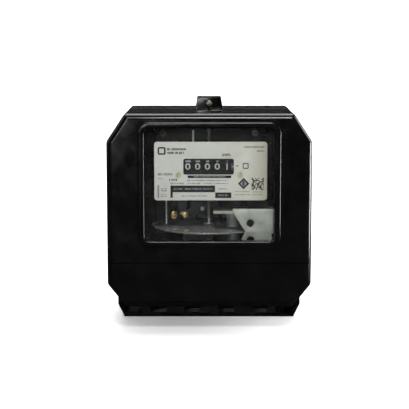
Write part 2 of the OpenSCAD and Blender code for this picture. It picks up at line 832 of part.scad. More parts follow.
module transfer_shaft() color("#a9a9a4") {
    rod_x(drum_d, transfer_z, transfer_shaft_r, left_plate_x - 0.5, right_plate_x + sheet + 0.5);
}

// Transfer pinion between drum i and drum i + 1, counted from the left.
module transfer_pinion(i) color("#e6e2d2") {
    x = drum_x0 + (i - 0.5) * drum_pitch;
    gear_x(drum_d, transfer_z, 8, 0.5, x - 1.8, x + 1.3, 0.5 + bore_clear);
}

module transfer_pinion_1() transfer_pinion(1);
module transfer_pinion_2() transfer_pinion(2);
module transfer_pinion_3() transfer_pinion(3);
module transfer_pinion_4() transfer_pinion(4);

module worm_wheel() color("#c39a45") {
    rod_x(arbor_d, arbor_z, shaft_r, left_plate_x - 0.6, right_plate_x + 5);
    gear_x(arbor_d, arbor_z, worm_teeth, wheel_m, -1, 1, shaft_r - 0.02);
    rod_x(arbor_d, arbor_z, 2, -2.4, 2.4);
    gear_x(arbor_d, arbor_z, pinion_teeth, gear_m, 22.4, 24.6, shaft_r - 0.02, angle_a);
}

module reduction_gear() color("#c39a45") {
    rod_x(reduction_d, reduction_z, shaft_r, 16.8, 25);
    gear_x(reduction_d, reduction_z, reduction_teeth, gear_m, 22.8, 24, shaft_r - 0.02,
        angle_a + 180 / reduction_teeth + 180);
    gear_x(reduction_d, reduction_z, pinion_teeth, gear_m, 16.8, 18.4, shaft_r - 0.02, angle_b);
}

base();
cover();
terminal_cover();
window_glass();
window_gasket();
cover_gasket();
cover_screw();
terminal_cover_screw();
terminal_block();
terminals();
terminal_screws();
voltage_link();
voltage_link_screw();
mechanism_frame();
frame_screws();
voltage_core();
voltage_coil();
current_core();
current_coils();
current_leads();
voltage_leads();
lag_clamp();
lag_clamp_screw();
friction_adjuster();
creep_adjuster();
lead_clip();
brake_magnet();
magnet_bracket();
magnet_screws();
disc();
disc_hub();
spindle();
worm();
upper_bearing();
lower_bearing();
nameplate();
nameplate_screws();
register_mask();
register_frame();
register_screws();
drum_shaft();
drum_1();
drum_2();
drum_3();
drum_4();
drum_5();
transfer_shaft();
transfer_pinion_1();
transfer_pinion_2();
transfer_pinion_3();
transfer_pinion_4();
worm_wheel();
reduction_gear();
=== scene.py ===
import math
import random

import bpy
from mathutils import Matrix, Vector


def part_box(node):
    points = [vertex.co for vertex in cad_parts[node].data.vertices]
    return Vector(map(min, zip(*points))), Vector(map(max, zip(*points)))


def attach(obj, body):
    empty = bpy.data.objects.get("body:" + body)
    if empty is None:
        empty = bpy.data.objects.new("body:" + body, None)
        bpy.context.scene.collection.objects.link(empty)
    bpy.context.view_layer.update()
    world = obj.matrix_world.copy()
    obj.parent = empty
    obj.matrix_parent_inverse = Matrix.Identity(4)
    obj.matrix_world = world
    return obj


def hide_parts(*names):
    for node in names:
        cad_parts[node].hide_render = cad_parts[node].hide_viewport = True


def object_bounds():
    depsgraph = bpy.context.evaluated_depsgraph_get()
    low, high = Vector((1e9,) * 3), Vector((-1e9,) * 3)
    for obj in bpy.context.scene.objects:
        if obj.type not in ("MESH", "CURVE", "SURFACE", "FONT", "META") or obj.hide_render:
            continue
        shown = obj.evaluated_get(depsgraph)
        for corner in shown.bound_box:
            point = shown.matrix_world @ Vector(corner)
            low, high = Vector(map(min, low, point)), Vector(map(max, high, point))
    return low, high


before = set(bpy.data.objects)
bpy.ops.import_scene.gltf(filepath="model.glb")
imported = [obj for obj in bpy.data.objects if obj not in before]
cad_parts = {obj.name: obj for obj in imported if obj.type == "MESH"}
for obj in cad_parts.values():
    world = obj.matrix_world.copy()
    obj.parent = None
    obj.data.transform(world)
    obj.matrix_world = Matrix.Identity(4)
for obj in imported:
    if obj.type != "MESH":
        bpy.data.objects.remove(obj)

bl_info = {
    "name": "Induction electricity meter",
    "version": (1, 0, 0),
    "blender": (4, 5, 0),
    "location": "View3D > Sidebar > Meter",
    "description": "Builds the looks of a single-phase induction meter around its packed frame",
    "category": "Object",
}

MM = 0.001
CAD_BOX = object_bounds()
COVER_LOW, COVER_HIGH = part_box("cover")
BASE_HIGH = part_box("base")[1]
LOWER_LOW, LOWER_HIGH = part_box("terminal_cover")
PLATE_LOW, PLATE_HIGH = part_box("nameplate")
DRUM_LOW, DRUM_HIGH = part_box("drum_3")
DISC_LOW, DISC_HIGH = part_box("disc")
MASK_LOW, MASK_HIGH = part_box("register_mask")
LUG_HEIGHT = 9.4 * MM
TAB_HEIGHT = 9.0 * MM
LUG_DEPTH = 3.2 * MM
MAIN_COVER_BACK = -45.3 * MM
WINDOW_CORNER = 4.0 * MM
RIM_CORNER = 8.2 * MM
RIM_ROUNDING = 1.15 * MM
SCREW_HOLE_RADIUS = 1.65 * MM
TONGUE_SIDES = (-50 * MM, 50 * MM)
TONGUE_FRONT = -57 * MM
DRUM_MIDDLE = (DRUM_LOW.z + DRUM_HIGH.z) / 2
FIGURE_SIDE = 2.2 * MM
FIGURE_LIFT = 0.015 * MM
FIGURE_STRIPS = 9


# ---- settings ---------------------------------------------------------------

def length(name, description, default, low=0.0):
    return number(name, description, default, low, unit="LENGTH", precision=5)


def number(name, description, default, low=0.0, **more):
    return bpy.props.FloatProperty(name=name, description=description, default=default, min=low, **more)


def colour(name, description, default):
    return bpy.props.FloatVectorProperty(
        name=name, description=description, default=default, subtype="COLOR", size=3, min=0.0, max=1.0
    )


class MeterCaseSettings(bpy.types.PropertyGroup):
    wall: length("Wall", "Thickness of the moulded covers", 2.6 * MM)
    front_radius: length("Front radius", "Rounding where the face meets the sides", 4.5 * MM)
    corner_radius: length("Corner radius", "Rounding of the cut corners", 1.6 * MM)
    corner_width: length("Corner width", "Width cut off each corner", 13.2 * MM)
    corner_height: length("Corner height", "Height cut off each upper corner", 20.0 * MM)
    foot_corner_height: length("Foot corner height", "Height cut off each lower corner", 16.5 * MM)
    rim_width: length("Rim width", "Width of the raised rim round the window", 4.6 * MM)
    rim_height: length("Rim height", "How far the rim stands proud of the face", 2.0 * MM)
    window_width: length("Window width", "Width of the window opening", 92.0 * MM)
    window_height: length("Window height", "Height of the window opening", 80.0 * MM)
    edge_softening: length("Edge softening", "Rounding of small moulded edges", 0.5 * MM)
    phenolic: colour("Case", "Colour of the polished case", (0.0017, 0.0017, 0.0019))
    block_phenolic: colour("Terminal block", "Colour of the terminal block", (0.004, 0.0035, 0.003))


class MeterPlateSettings(bpy.types.PropertyGroup):
    print_height: length("Print height", "Thickness of the printed ink", 0.03 * MM)
    numeral_height: length("Numeral height", "Height of the drum numerals", 4.5 * MM)
    numeral_width: length("Numeral width", "Width of a drum's nought", 3.85 * MM)
    numeral_weight: length("Numeral weight", "How much bolder the numerals' strokes are made", 0.12 * MM)
    header_height: length("Header height", "Height of the figures over each drum", 1.2 * MM)
    enamel: colour("Enamel", "Colour of the nameplate", (0.74, 0.73, 0.70))
    ink: colour("Ink", "Colour of the printing", (0.012, 0.012, 0.014))


class MeterMovementSettings(bpy.types.PropertyGroup):
    tick_count: bpy.props.IntProperty(
        name="Disc divisions", description="Tick marks round the disc", default=100, min=10, max=400
    )
    tick_length: length("Tick length", "Length of a tick mark on the disc", 1.6 * MM)
    alloy: colour("Alloy", "Colour of the cast and sheet metal frame", (0.60, 0.62, 0.57))
    # Dark because it stands for the shade inside the case: painted shade on the mechanism frame.
    frame_alloy: colour("Frame", "Colour of the mechanism frame behind the disc", (0.075, 0.08, 0.075))
    brass: colour("Brass", "Colour of the brass pieces", (0.74, 0.55, 0.25))
    copper: colour("Copper", "Colour of the enamelled windings", (0.50, 0.19, 0.09))


class MeterStageSettings(bpy.types.PropertyGroup):
    camera_distance: length("Camera distance", "Camera to the front face", 0.830)
    camera_height: length("Camera height", "Camera above the centre of the back", 0.1256)
    camera_side: length("Camera side", "Camera to the left of the middle", 0.0034)
    camera_pitch: bpy.props.FloatProperty(
        name="Camera pitch", description="How far the camera looks down", default=math.radians(8.0),
        subtype="ANGLE"
    )
    air_light: number("Air light", "Strength of the even light all round", 0.25)
    flag_light: number("Flag light", "How bright the flags look in polished surfaces", 0.006)
    lens: number("Lens", "Focal length in millimetres", 104.4, 20.0, max=300.0)


# ---- materials --------------------------------------------------------------

def new_material(name, metallic=0.0, roughness=0.4):
    material = bpy.data.materials.new(name)
    material.use_nodes = True
    surface = surface_of(material)
    surface.inputs["Metallic"].default_value = metallic
    surface.inputs["Roughness"].default_value = roughness
    return material


def surface_of(material):
    return material.node_tree.nodes["Principled BSDF"]


def add_node(material, kind, inputs=None, **settings):
    node = material.node_tree.nodes.new(kind)
    for key, value in settings.items():
        setattr(node, key, value)
    for key, value in (inputs or {}).items():
        node.inputs[key].default_value = value
    return node


def link(material, source, target):
    material.node_tree.links.new(source, target)


def placed(material, scale=(1, 1, 1), turn=(0, 0, 0), centre=(0, 0, 0)):
    """Object coordinates, centred, turned and scaled."""
    coords = add_node(material, "ShaderNodeTexCoord")
    shift = add_node(material, "ShaderNodeMapping", {"Location": [-c for c in centre]})
    mapping = add_node(material, "ShaderNodeMapping", {"Scale": scale, "Rotation": turn})
    link(material, coords.outputs["Object"], shift.inputs["Vector"])
    link(material, shift.outputs["Vector"], mapping.inputs["Vector"])
    return mapping.outputs["Vector"]


def grain(material, vector, scale, detail=3.0, roughness=0.55):
    noise = add_node(
        material, "ShaderNodeTexNoise", {"Scale": scale, "Detail": detail, "Roughness": roughness}
    )
    link(material, vector, noise.inputs["Vector"])
    return noise.outputs["Fac"]


def ramp(material, value, stops):
    """A colour ramp with (place, colour) stops."""
    node = add_node(material, "ShaderNodeValToRGB")
    marks = node.color_ramp.elements
    for mark, (place, tint) in zip(list(marks), (stops[0], stops[-1])):
        mark.position = place
        mark.color = (*tint, 1)
    for place, tint in stops[1:-1]:
        marks.new(place).color = (*tint, 1)
    link(material, value, node.inputs["Fac"])
    return node.outputs["Color"]


def spread(material, value, low, high, start=0.3, end=0.7):
    node = add_node(
        material, "ShaderNodeMapRange",
        {"From Min": start, "From Max": end, "To Min": low, "To Max": high}
    )
    link(material, value, node.inputs["Value"])
    return node.outputs["Result"]


def dent(material, value, distance, strength=1.0):
    """Bump from a height, as the surface's normal."""
    bump = add_node(material, "ShaderNodeBump", {"Distance": distance, "Strength": strength})
    link(material, value, bump.inputs["Height"])
    link(material, bump.outputs["Normal"], surface_of(material).inputs["Normal"])


def scaled(tint, factor):
    return tuple(min(1.0, c * factor) for c in tint)


def axes(material, vector):
    """The X, Y and Z of a vector."""
    split = add_node(material, "ShaderNodeSeparateXYZ")
    link(material, vector, split.inputs["Vector"])
    return split.outputs


def tinted(material, value, stops):
    """Colours the surface by a ramp over value."""
    link(material, ramp(material, value, stops), surface_of(material).inputs["Base Color"])


def toned(material, value, base, *stops):
    """Colours the surface by base made darker or lighter over value. A stop is (place, factor)."""
    tinted(material, value, [(place, scaled(base, factor)) for place, factor in stops])


def dulled(material, value, low, high):
    """Varies the surface's roughness over value."""
    link(material, spread(material, value, low, high), surface_of(material).inputs["Roughness"])


def blended(material, blend, factor, first, second):
    """Colours the surface by two colours mixed."""
    mix = add_node(material, "ShaderNodeMix", data_type="RGBA", blend_type=blend)
    mix.inputs["Factor"].default_value = factor
    link(material, first, mix.inputs["A"])
    link(material, second, mix.inputs["B"])
    link(material, mix.outputs["Result"], surface_of(material).inputs["Base Color"])


def bands(material, vector, inputs, **settings):
    """Waves laid side by side."""
    wave = add_node(material, "ShaderNodeTexWave", inputs, **settings)
    link(material, vector, wave.inputs["Vector"])
    return wave.outputs["Fac"]


def polished_phenolic(name, base, gloss=0.16):
    """Compression-moulded black: deep gloss, faint flow marks, a little dust and handling haze."""
    material = new_material(name)
    vector = placed(material)
    cloud = grain(material, vector, 38.0, 4.0)
    dust = grain(material, vector, 900.0, 2.0, 0.7)
    tone = ramp(material, cloud, [(0.35, scaled(base, 0.75)), (0.7, scaled(base, 1.35))])
    speck = ramp(material, dust, [(0.74, (0, 0, 0)), (0.8, (0.05, 0.05, 0.048))])
    blended(material, "ADD", 0.5, tone, speck)
    dulled(material, grain(material, vector, 95.0, 5.0, 0.62), gloss * 0.7, gloss * 1.7)
    dent(material, grain(material, vector, 260.0, 2.0), 0.00004, 0.35)
    surface_of(material).inputs["Specular IOR Level"].default_value = 0.42
    return material


def marbled_phenolic(name, base):
    """Dark moulding compound with lighter veins."""
    material = new_material(name)
    vector = placed(material)
    veins = grain(material, vector, 130.0, 6.0, 0.65)
    toned(material, veins, base, (0.35, 0.6), (0.55, 1.0), (0.72, 2.2))
    dulled(material, veins, 0.28, 0.42)
    dent(material, grain(material, vector, 700.0), 0.00003, 0.5)
    return material


def window_pane(name):
    """Clear sheet glass with a thin film of dust, and a clean reflection that grows at a glance."""
    material = new_material(name)
    nodes = material.node_tree.nodes
    nodes.remove(surface_of(material))
    clear = add_node(material, "ShaderNodeBsdfTransparent", {"Color": (0.955, 0.965, 0.955, 1)})
    shine = add_node(material, "ShaderNodeBsdfGlossy", {"Roughness": 0.03})
    facing = add_node(material, "ShaderNodeFresnel", {"IOR": 1.45})
    film = add_node(material, "ShaderNodeBsdfDiffuse", {"Color": (0.8, 0.8, 0.8, 1)})
    dusty = add_node(material, "ShaderNodeMixShader")
    dust = grain(material, placed(material), 70.0, 4.0)
    link(material, spread(material, dust, 0.003, 0.008), dusty.inputs["Fac"])
    link(material, clear.outputs["BSDF"], dusty.inputs[1])
    link(material, film.outputs["BSDF"], dusty.inputs[2])
    blend = add_node(material, "ShaderNodeMixShader")
    link(material, facing.outputs["Fac"], blend.inputs["Fac"])
    link(material, dusty.outputs["Shader"], blend.inputs[1])
    link(material, shine.outputs["BSDF"], blend.inputs[2])
    link(material, blend.outputs["Shader"], nodes["Material Output"].inputs["Surface"])
    return material


def matt_rubber(name):
    """Grey-black rubber with a dry, slightly rough skin."""
    material = new_material(name, roughness=0.75)
    vector = placed(material)
    tone = grain(material, vector, 300.0, 4.0)
    tinted(material, tone, [(0.3, (0.014, 0.014, 0.014)), (0.75, (0.035, 0.035, 0.033))])
    dent(material, grain(material, vector, 1500.0), 0.00005, 0.6)
    return material


def turned_metal(name, base, rough=0.3, tarnish=0.55):
    """Turned or stamped metal with darker tarnish in patches and fine tool marks."""
    material = new_material(name, metallic=0.7)
    patch = grain(material, placed(material), 320.0, 4.0, 0.6)
    toned(material, patch, base, (0.3, tarnish), (0.55, 1.0), (0.8, 1.2))
    dulled(material, patch, rough * 1.5, rough * 0.75)
    marks = grain(material, placed(material, (1, 1, 14)), 900.0, 2.0)
    dent(material, marks, 0.00002, 0.5)
    return material


def brushed_plate(name, base, rough=0.38):
    """Plated steel with brush lines along X."""
    material = new_material(name, metallic=0.5)
    lines = grain(material, placed(material, (1, 24, 24)), 240.0, 4.0)
    toned(material, lines, base, (0.25, 0.8), (0.75, 1.12))
    dulled(material, lines, rough * 0.8, rough * 1.3)
    dent(material, lines, 0.00002, 0.5)
    return material


def cast_alloy(name, base):
    """Satin alloy: fine cast skin, light stains, bright where it has been handled."""
    material = new_material(name, metallic=0.55)
    vector = placed(material)
    stain = grain(material, vector, 120.0, 5.0, 0.6)
    toned(material, stain, base, (0.28, 0.72), (0.5, 1.0), (0.78, 1.18))
    dulled(material, stain, 0.36, 0.56)
    dent(material, grain(material, vector, 2200.0, 3.0), 0.00003, 0.55)
    return material


def stacked_laminations(name):
    """Silicon steel sheets, half a millimetre each, stacked front to back."""
    material = new_material(name, metallic=0.7)
    vector = placed(material)
    sheets = bands(
        material, vector, {"Scale": 310.0, "Distortion": 0.4, "Detail": 2.0},
        wave_type="BANDS", bands_direction="Y"
    )
    blue = grain(material, vector, 150.0, 5.0)
    tinted(material, blue, [
        (0.3, (0.05, 0.055, 0.065)), (0.55, (0.11, 0.115, 0.12)), (0.8, (0.17, 0.14, 0.11))
    ])
    dulled(material, blue, 0.36, 0.6)
    dent(material, sheets, 0.00008, 0.7)
    return material


def wound(name, base, pitch, gloss=0.3):
    """Turns of wire or tape laid side by side, darker in the grooves between them as painted shade and
    lighter on their crests as painted highlight.
    """
    material = new_material(name)
    vector = placed(material)
    turns = bands(
        material, vector, {"Scale": 0.314 / pitch, "Distortion": 0.25, "Detail": 1.0},
        wave_type="BANDS", bands_direction="Z"
    )
    # painted shade in the grooves between turns and a painted highlight on their crests
    toned(material, turns, base, (0.05, 0.35), (0.4, 1.0), (0.95, 1.3))
    dulled(material, grain(material, vector, 200.0, 4.0), gloss * 0.8, gloss * 1.5)
    dent(material, turns, pitch * 0.25, 0.9)
    return material


def rolled_disc(name):
    """Bright rolled aluminium, spun to finish: rings round the spindle."""
    centre = ((DISC_LOW + DISC_HIGH) / 2)[:]
    material = new_material(name, metallic=0.6)
    rings = bands(
        material, placed(material, centre=centre),
        {"Scale": 420.0, "Distortion": 1.2, "Detail": 3.0, "Detail Scale": 2.0},
        wave_type="RINGS", rings_direction="Z"
    )
    tinted(material, rings, [(0.1, (0.60, 0.61, 0.62)), (0.9, (0.76, 0.77, 0.78))])
    dulled(material, grain(material, placed(material), 60.0, 4.0), 0.2, 0.34)
    dent(material, rings, 0.00001, 0.35)
    surface_of(material).inputs["Anisotropic"].default_value = 0.3
    return material


def printed_enamel(name, base):
    """Off-white enamel on aluminium, browner and darker towards its right edge as a painted reflection,
    with a faint orange peel.
    """
    middle = (PLATE_LOW + PLATE_HIGH) / 2
    material = new_material(name, roughness=0.38)
    vector = placed(material)
    half = (PLATE_HIGH.x - PLATE_LOW.x) / 2
    across = spread(
        material, axes(material, placed(material, centre=middle[:]))["X"], 0.0, 1.0, -half, half
    )
    # enamel colour across the plate, a touch darker at the left edge and browner and darker towards the
    # right edge: a painted reflection
    enamel_and_reflection = ramp(
        material, across,
        [(0.0, scaled(base, 0.97)), (0.55, base), (0.84, (base[0] * 0.97, base[1] * 0.96, base[2] * 0.91)),
         (1.0, (base[0] * 0.72, base[1] * 0.68, base[2] * 0.58))]
    )
    mottle = ramp(material, grain(material, vector, 180.0, 4.0), [(0.3, (0.93,) * 3), (0.7, (1.0,) * 3)])
    blended(material, "MULTIPLY", 1.0, enamel_and_reflection, mottle)
    dent(material, grain(material, vector, 1400.0), 0.00001, 0.4)
    return material


def plain_paint(name, base, rough=0.45):
    """A thin even coat: ink, drum lacquer or moulded nylon."""
    material = new_material(name)
    tone = grain(material, placed(material), 600.0, 3.0)
    toned(material, tone, base, (0.3, 0.86), (0.7, 1.08))
    dulled(material, tone, rough * 0.85, rough * 1.2)
    dent(material, tone, 0.00001, 0.4)
    return material


# ---- mesh helpers -----------------------------------------------------------

def deselect():
    if bpy.context.object and bpy.context.object.mode != "OBJECT":
        bpy.ops.object.mode_set(mode="OBJECT")
    bpy.ops.object.select_all(action="DESELECT")


def activate(piece):
    deselect()
    piece.select_set(True)
    bpy.context.view_layer.objects.active = piece


def added(name):
    """Names the object that was just added or changed, and returns it."""
    piece = bpy.context.object
    piece.name = piece.data.name = name
    return piece


def settle(piece):
    """Moves the object's place, turn and size into its mesh."""
    bpy.ops.object.transform_apply(location=True, rotation=True, scale=True)
    return piece


def edit(piece, mode="VERT"):
    activate(piece)
    bpy.ops.object.mode_set(mode="EDIT")
    bpy.ops.mesh.select_mode(type=mode)
    bpy.ops.mesh.select_all(action="DESELECT")


def done():
    bpy.ops.object.mode_set(mode="OBJECT")


def pick(piece, kind, test):
    """Selects the vertices, edges or faces for which test is true, in edit mode."""
    bpy.ops.object.mode_set(mode="OBJECT")
    mesh = piece.data
    for group in (mesh.vertices, mesh.edges, mesh.polygons):
        group.foreach_set("select", [False] * len(group))
    chosen = [item for item in getattr(mesh, kind) if test(mesh, item)]
    for item in chosen:
        item.select = True
    bpy.ops.object.mode_set(mode="EDIT")
    if not chosen:
        raise RuntimeError(f"nothing to select on {piece.name}")


def edge_ends(mesh, edge):
    return mesh.vertices[edge.vertices[0]].co, mesh.vertices[edge.vertices[1]].co


def near(a, b, slack=1e-5):
    return abs(a - b) < slack


def apply_all(piece):
    activate(piece)
    for modifier in list(piece.modifiers):
        bpy.ops.object.modifier_apply(modifier=modifier.name)


def prism(name, points, y_back, y_front):
    """A flat (x, z) outline at y_back, pulled forward to y_front."""
    deselect()
    bpy.ops.mesh.primitive_circle_add(vertices=len(points), fill_type="NGON")
    piece = added(name)
    for vertex, (x, z) in zip(piece.data.vertices, points):
        vertex.co = (x, y_back, z)
    bpy.ops.object.mode_set(mode="EDIT")
    bpy.ops.mesh.select_all(action="SELECT")
    bpy.ops.mesh.extrude_region_move(TRANSFORM_OT_translate={"value": (0, y_front - y_back, 0)})
    bpy.ops.mesh.select_all(action="SELECT")
    bpy.ops.mesh.normals_make_consistent(inside=False)
    done()
    return piece


def mirrored(right):
    """A closed outline from its right half."""
    return right + [(-x, z) for x, z in reversed(right)]


def rounded_rectangle(centre, size, radius, steps=8):
    (cx, cz), (w, h) = centre, size
    points = []
    for start, sx, sz in ((0, 1, 1), (90, -1, 1), (180, -1, -1), (270, 1, -1)):
        for i in range(steps + 1):
            a = math.radians(start + 90 * i / steps)
            points.append((
                cx + sx * (w / 2 - radius) + radius * math.cos(a),
                cz + sz * (h / 2 - radius) + radius * math.sin(a),
            ))
    return points


def combine(piece, other, operation):
    """Boolean of piece with other, which is used up."""
    modifier = piece.modifiers.new("join", "BOOLEAN")
    modifier.operation = operation
    modifier.object = other
    modifier.solver = "EXACT"
    apply_all(piece)
    bpy.data.objects.remove(other, do_unlink=True)


def soften(piece, width, segments=3, angle=35.0, smooth=40.0):
    """Rounds every edge sharper than angle and shades the piece smooth between its real edges."""
    if width > 0:
        modifier = piece.modifiers.new("soft edges", "BEVEL")
        modifier.width = width
        modifier.segments = segments
        modifier.limit_method = "ANGLE"
        modifier.angle_limit = math.radians(angle)
        modifier.harden_normals = False
        apply_all(piece)
    activate(piece)
    bpy.ops.object.shade_smooth_by_angle(angle=math.radians(smooth))


def even_shading(piece):
    """Keeps broad flat faces flat to the light beside their rounded edges."""
    even = piece.modifiers.new("even normals", "WEIGHTED_NORMAL")
    even.keep_sharp = True
    apply_all(piece)


def tidy(piece, merge=1e-6):
    edit(piece)
    bpy.ops.mesh.select_all(action="SELECT")
    bpy.ops.mesh.remove_doubles(threshold=merge)
    bpy.ops.mesh.normals_make_consistent(inside=False)
    done()


def copy_of_node(node, name):
    """A merged, cleaned copy of a CAD node's mesh, as a piece of its own."""
    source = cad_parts[node]
    mesh = source.data.copy()
    mesh.materials.clear()
    piece = bpy.data.objects.new(name, mesh)
    mesh.name = name
    bpy.context.scene.collection.objects.link(piece)
    edit(piece)
    bpy.ops.mesh.select_all(action="SELECT")
    bpy.ops.mesh.remove_doubles(threshold=2e-6)
    bpy.ops.mesh.dissolve_limited(angle_limit=math.radians(0.5))
    done()
    return piece


def finish_piece(piece, material, body, slot, *nodes):
    piece.data.materials.clear()
    piece.data.materials.append(material)
    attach(piece, body)
    if nodes:
        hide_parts(*nodes)
    return piece


def dress(material, *nodes):
    """Gives CAD nodes a finished material."""
    for node in nodes:
        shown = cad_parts[node]
        shown.data.materials.clear()
        shown.data.materials.append(material)


def softened_node(node, material, body, slot, width, segments=2):
    piece = copy_of_node(node, f"{node}_finished")
    soften(piece, width, segments)
    return finish_piece(piece, material, body, slot, node)


def joined(pieces, name):
    deselect()
    for piece in pieces:
        piece.select_set(True)
    bpy.context.view_layer.objects.active = pieces[0]
    bpy.ops.object.join()
    return added(name)


# ---- case -------------------------------------------------------------------

def face_y():
    """The flat front face of the covers."""
    return COVER_LOW.y + bpy.context.scene.meter_case.rim_height


def cover_corners(case):
    """The eight corners of the covers, seen from the front."""
    side, top, foot = COVER_HIGH.x, BASE_HIGH.z - LUG_HEIGHT, LOWER_LOW.z + TAB_HEIGHT
    w, h, low = case.corner_width, case.corner_height, case.foot_corner_height
    return mirrored([(side - w, top), (side, top - h), (side, foot + low), (side - w, foot)])


def ear_outline(z_low, z_high, half_foot, half_top, corner=0.8 * MM):
    """The lug's form, seen from the front: a straight foot, then a slight taper."""
    return mirrored([
        (half_foot, z_low), (half_foot, z_low + 2 * MM), (half_foot - 0.3 * MM, z_low + 3 * MM),
        (half_top, z_high - corner), (half_top - corner, z_high),
    ])


def round_edges(piece, radius, segments, test):
    """Rounds the edges for whose two ends test is true."""
    edit(piece, "EDGE")
    pick(piece, "edges", lambda mesh, edge: test(*edge_ends(mesh, edge)))
    bpy.ops.mesh.bevel(offset=radius, segments=segments, profile=0.5, affect="EDGES")
    done()


def round_along_y(piece, radius, segments):
    """Rounds the edges that run front to back."""
    round_edges(piece, radius, segments, lambda a, b: near(a.x, b.x) and near(a.z, b.z))


def round_front(piece, y, radius, segments):
    """Rounds the edges that lie in the plane of the front face."""
    round_edges(piece, radius, segments, lambda a, b: near(a.y, y) and near(b.y, y))


def moulded_shell(name, case, y_back, cut_z, keep_above):
    """The hollow eight-sided form, open at the back and cut at cut_z.

    If the half above the cut is kept, a wall closes it there.
    """
    shell = prism(name, cover_corners(case), y_back, face_y())
    round_along_y(shell, case.corner_radius, 4)
    round_front(shell, face_y(), case.front_radius, 8)
    edit(shell, "FACE")
    bpy.ops.mesh.select_all(action="SELECT")
    bpy.ops.mesh.bisect(
        plane_co=(0, 0, cut_z), plane_no=(0, 0, 1), use_fill=keep_above,
        clear_inner=keep_above, clear_outer=not keep_above
    )
    pick(shell, "polygons", lambda m, f: f.normal.y > 0.99)
    bpy.ops.mesh.delete(type="FACE")
    done()
    walls = shell.modifiers.new("walls", "SOLIDIFY")
    walls.thickness = case.wall
    walls.offset = -1
    walls.use_even_offset = True
    apply_all(shell)
    return shell


def box_piece(name, low, high):
    deselect()
    middle = (Vector(low) + Vector(high)) / 2
    bpy.ops.mesh.primitive_cube_add(size=1, location=middle)
    piece = added(name)
    piece.scale = Vector(high) - Vector(low)
    return settle(piece)


def cylinder_y(name, x, z, radius, y_back, y_front, sides=48):
    deselect()
    bpy.ops.mesh.primitive_cylinder_add(
        vertices=sides, radius=radius, depth=y_back - y_front,
        location=(x, (y_back + y_front) / 2, z), rotation=(math.pi / 2, 0, 0)
    )
    return settle(added(name))


def window_middle():
    low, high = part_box("window_glass")
    return ((low.x + high.x) / 2, (low.z + high.z) / 2)


def window_frame(case, y_foot):
    """The raised rim: a band round the window, rounded on both shoulders."""
    centre = window_middle()
    size = (case.window_width, case.window_height)
    outer = (size[0] + 2 * case.rim_width, size[1] + 2 * case.rim_width)
    band = prism("rim", rounded_rectangle(centre, outer, RIM_CORNER), y_foot, COVER_LOW.y)
    hole = prism("hole", rounded_rectangle(centre, size, WINDOW_CORNER), y_foot + MM, COVER_LOW.y - MM)
    combine(band, hole, "DIFFERENCE")
    round_front(band, COVER_LOW.y, RIM_ROUNDING, 5)
    return band


def checked(piece, node):
    """Refuses a moulding that came out a different size from the node that it stands for."""
    low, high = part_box(node)
    points = [v.co for v in piece.data.vertices]
    for axis in range(3):
        ends = (min(p[axis] for p in points), max(p[axis] for p in points))
        if abs(ends[0] - low[axis]) > MM or abs(ends[1] - high[axis]) > MM:
            raise RuntimeError(f"{piece.name} doesn't match {node} along axis {axis}: {ends}")
    return piece


def screw_hole(cover, box, y_back):
    """Drills the cover for the screw that fills box."""
    z = (box[0].z + box[1].z) / 2
    drill = cylinder_y("screw hole", 0, z, SCREW_HOLE_RADIUS, y_back + MM, y_back - 6 * MM)
    combine(cover, drill, "DIFFERENCE")


def main_cover(case):
    """The main cover with its window rim, lug, seal ledge and two tongues at its lower edge."""
    y_back = MAIN_COVER_BACK
    cover = moulded_shell("main_cover_moulding", case, y_back, COVER_LOW.z, True)
    centre = window_middle()
    opening = rounded_rectangle(centre, (case.window_width, case.window_height), WINDOW_CORNER)
    combine(cover, prism("opening", opening, face_y() + 12 * MM, face_y() - 5 * MM), "DIFFERENCE")
    combine(cover, window_frame(case, face_y() + 0.6 * case.wall), "UNION")
    top = COVER_HIGH.z - LUG_HEIGHT
    outline = ear_outline(top - 2 * MM, COVER_HIGH.z, 10.4 * MM, 9.0 * MM)
    ear = prism("ear", outline, y_back, y_back - LUG_DEPTH)
    soften(ear, 0.45 * MM, 3, 30)
    combine(cover, ear, "UNION")
    ledge = box_piece("ledge", (-9 * MM, -87.7 * MM, top - MM), (9 * MM, y_back, top + 1.4 * MM))
    soften(ledge, 0.4 * MM, 3)
    groove = box_piece(
        "groove", (-1.4 * MM, -90 * MM, top + 0.2 * MM), (1.4 * MM, y_back - 3.3 * MM, top + 3 * MM)
    )
    combine(ledge, groove, "DIFFERENCE")
    combine(cover, ledge, "UNION")
    foot = COVER_LOW.z + case.wall
    for x in TONGUE_SIDES:
        left, right = x - 5 * MM, x + 5 * MM
        tongue = box_piece(
            "tongue", (left, TONGUE_FRONT, foot - MM), (right, y_back - 0.2 * MM, foot + 2 * MM)
        )
        lip = box_piece(
            "lip", (left, TONGUE_FRONT, foot + 0.2 * MM), (right, COVER_HIGH.y, foot + 2 * MM)
        )
        combine(tongue, lip, "UNION")
        combine(cover, tongue, "UNION")
    screw_hole(cover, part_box("cover_screw"), y_back)
    tidy(cover)
    soften(cover, 0.0, smooth=32)
    return cover


def lower_cover(case):
    """The terminal cover with the tab that its screw goes through."""
    y_back = LOWER_HIGH.y
    cover = moulded_shell("terminal_cover_moulding", case, y_back, LOWER_HIGH.z, False)
    foot = LOWER_LOW.z
    tab = prism("tab", [
        (6 * MM, foot + TAB_HEIGHT + MM), (-6 * MM, foot + TAB_HEIGHT + MM), (-6 * MM, foot + 3 * MM),
        (-4 * MM, foot), (4 * MM, foot), (6 * MM, foot + 3 * MM),
    ], y_back, y_back - 2.9 * MM)
    soften(tab, 0.4 * MM, 3, 30)
    combine(cover, tab, "UNION")
    screw_hole(cover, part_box("terminal_cover_screw"), y_back)
    tidy(cover)
    soften(cover, 0.0, smooth=32)
    return cover


class Step:
    """One step of the build, offered as an operator. A step that can't be done raises."""

    def execute(self, context):
        self.build(context.scene)
        return {"FINISHED"}


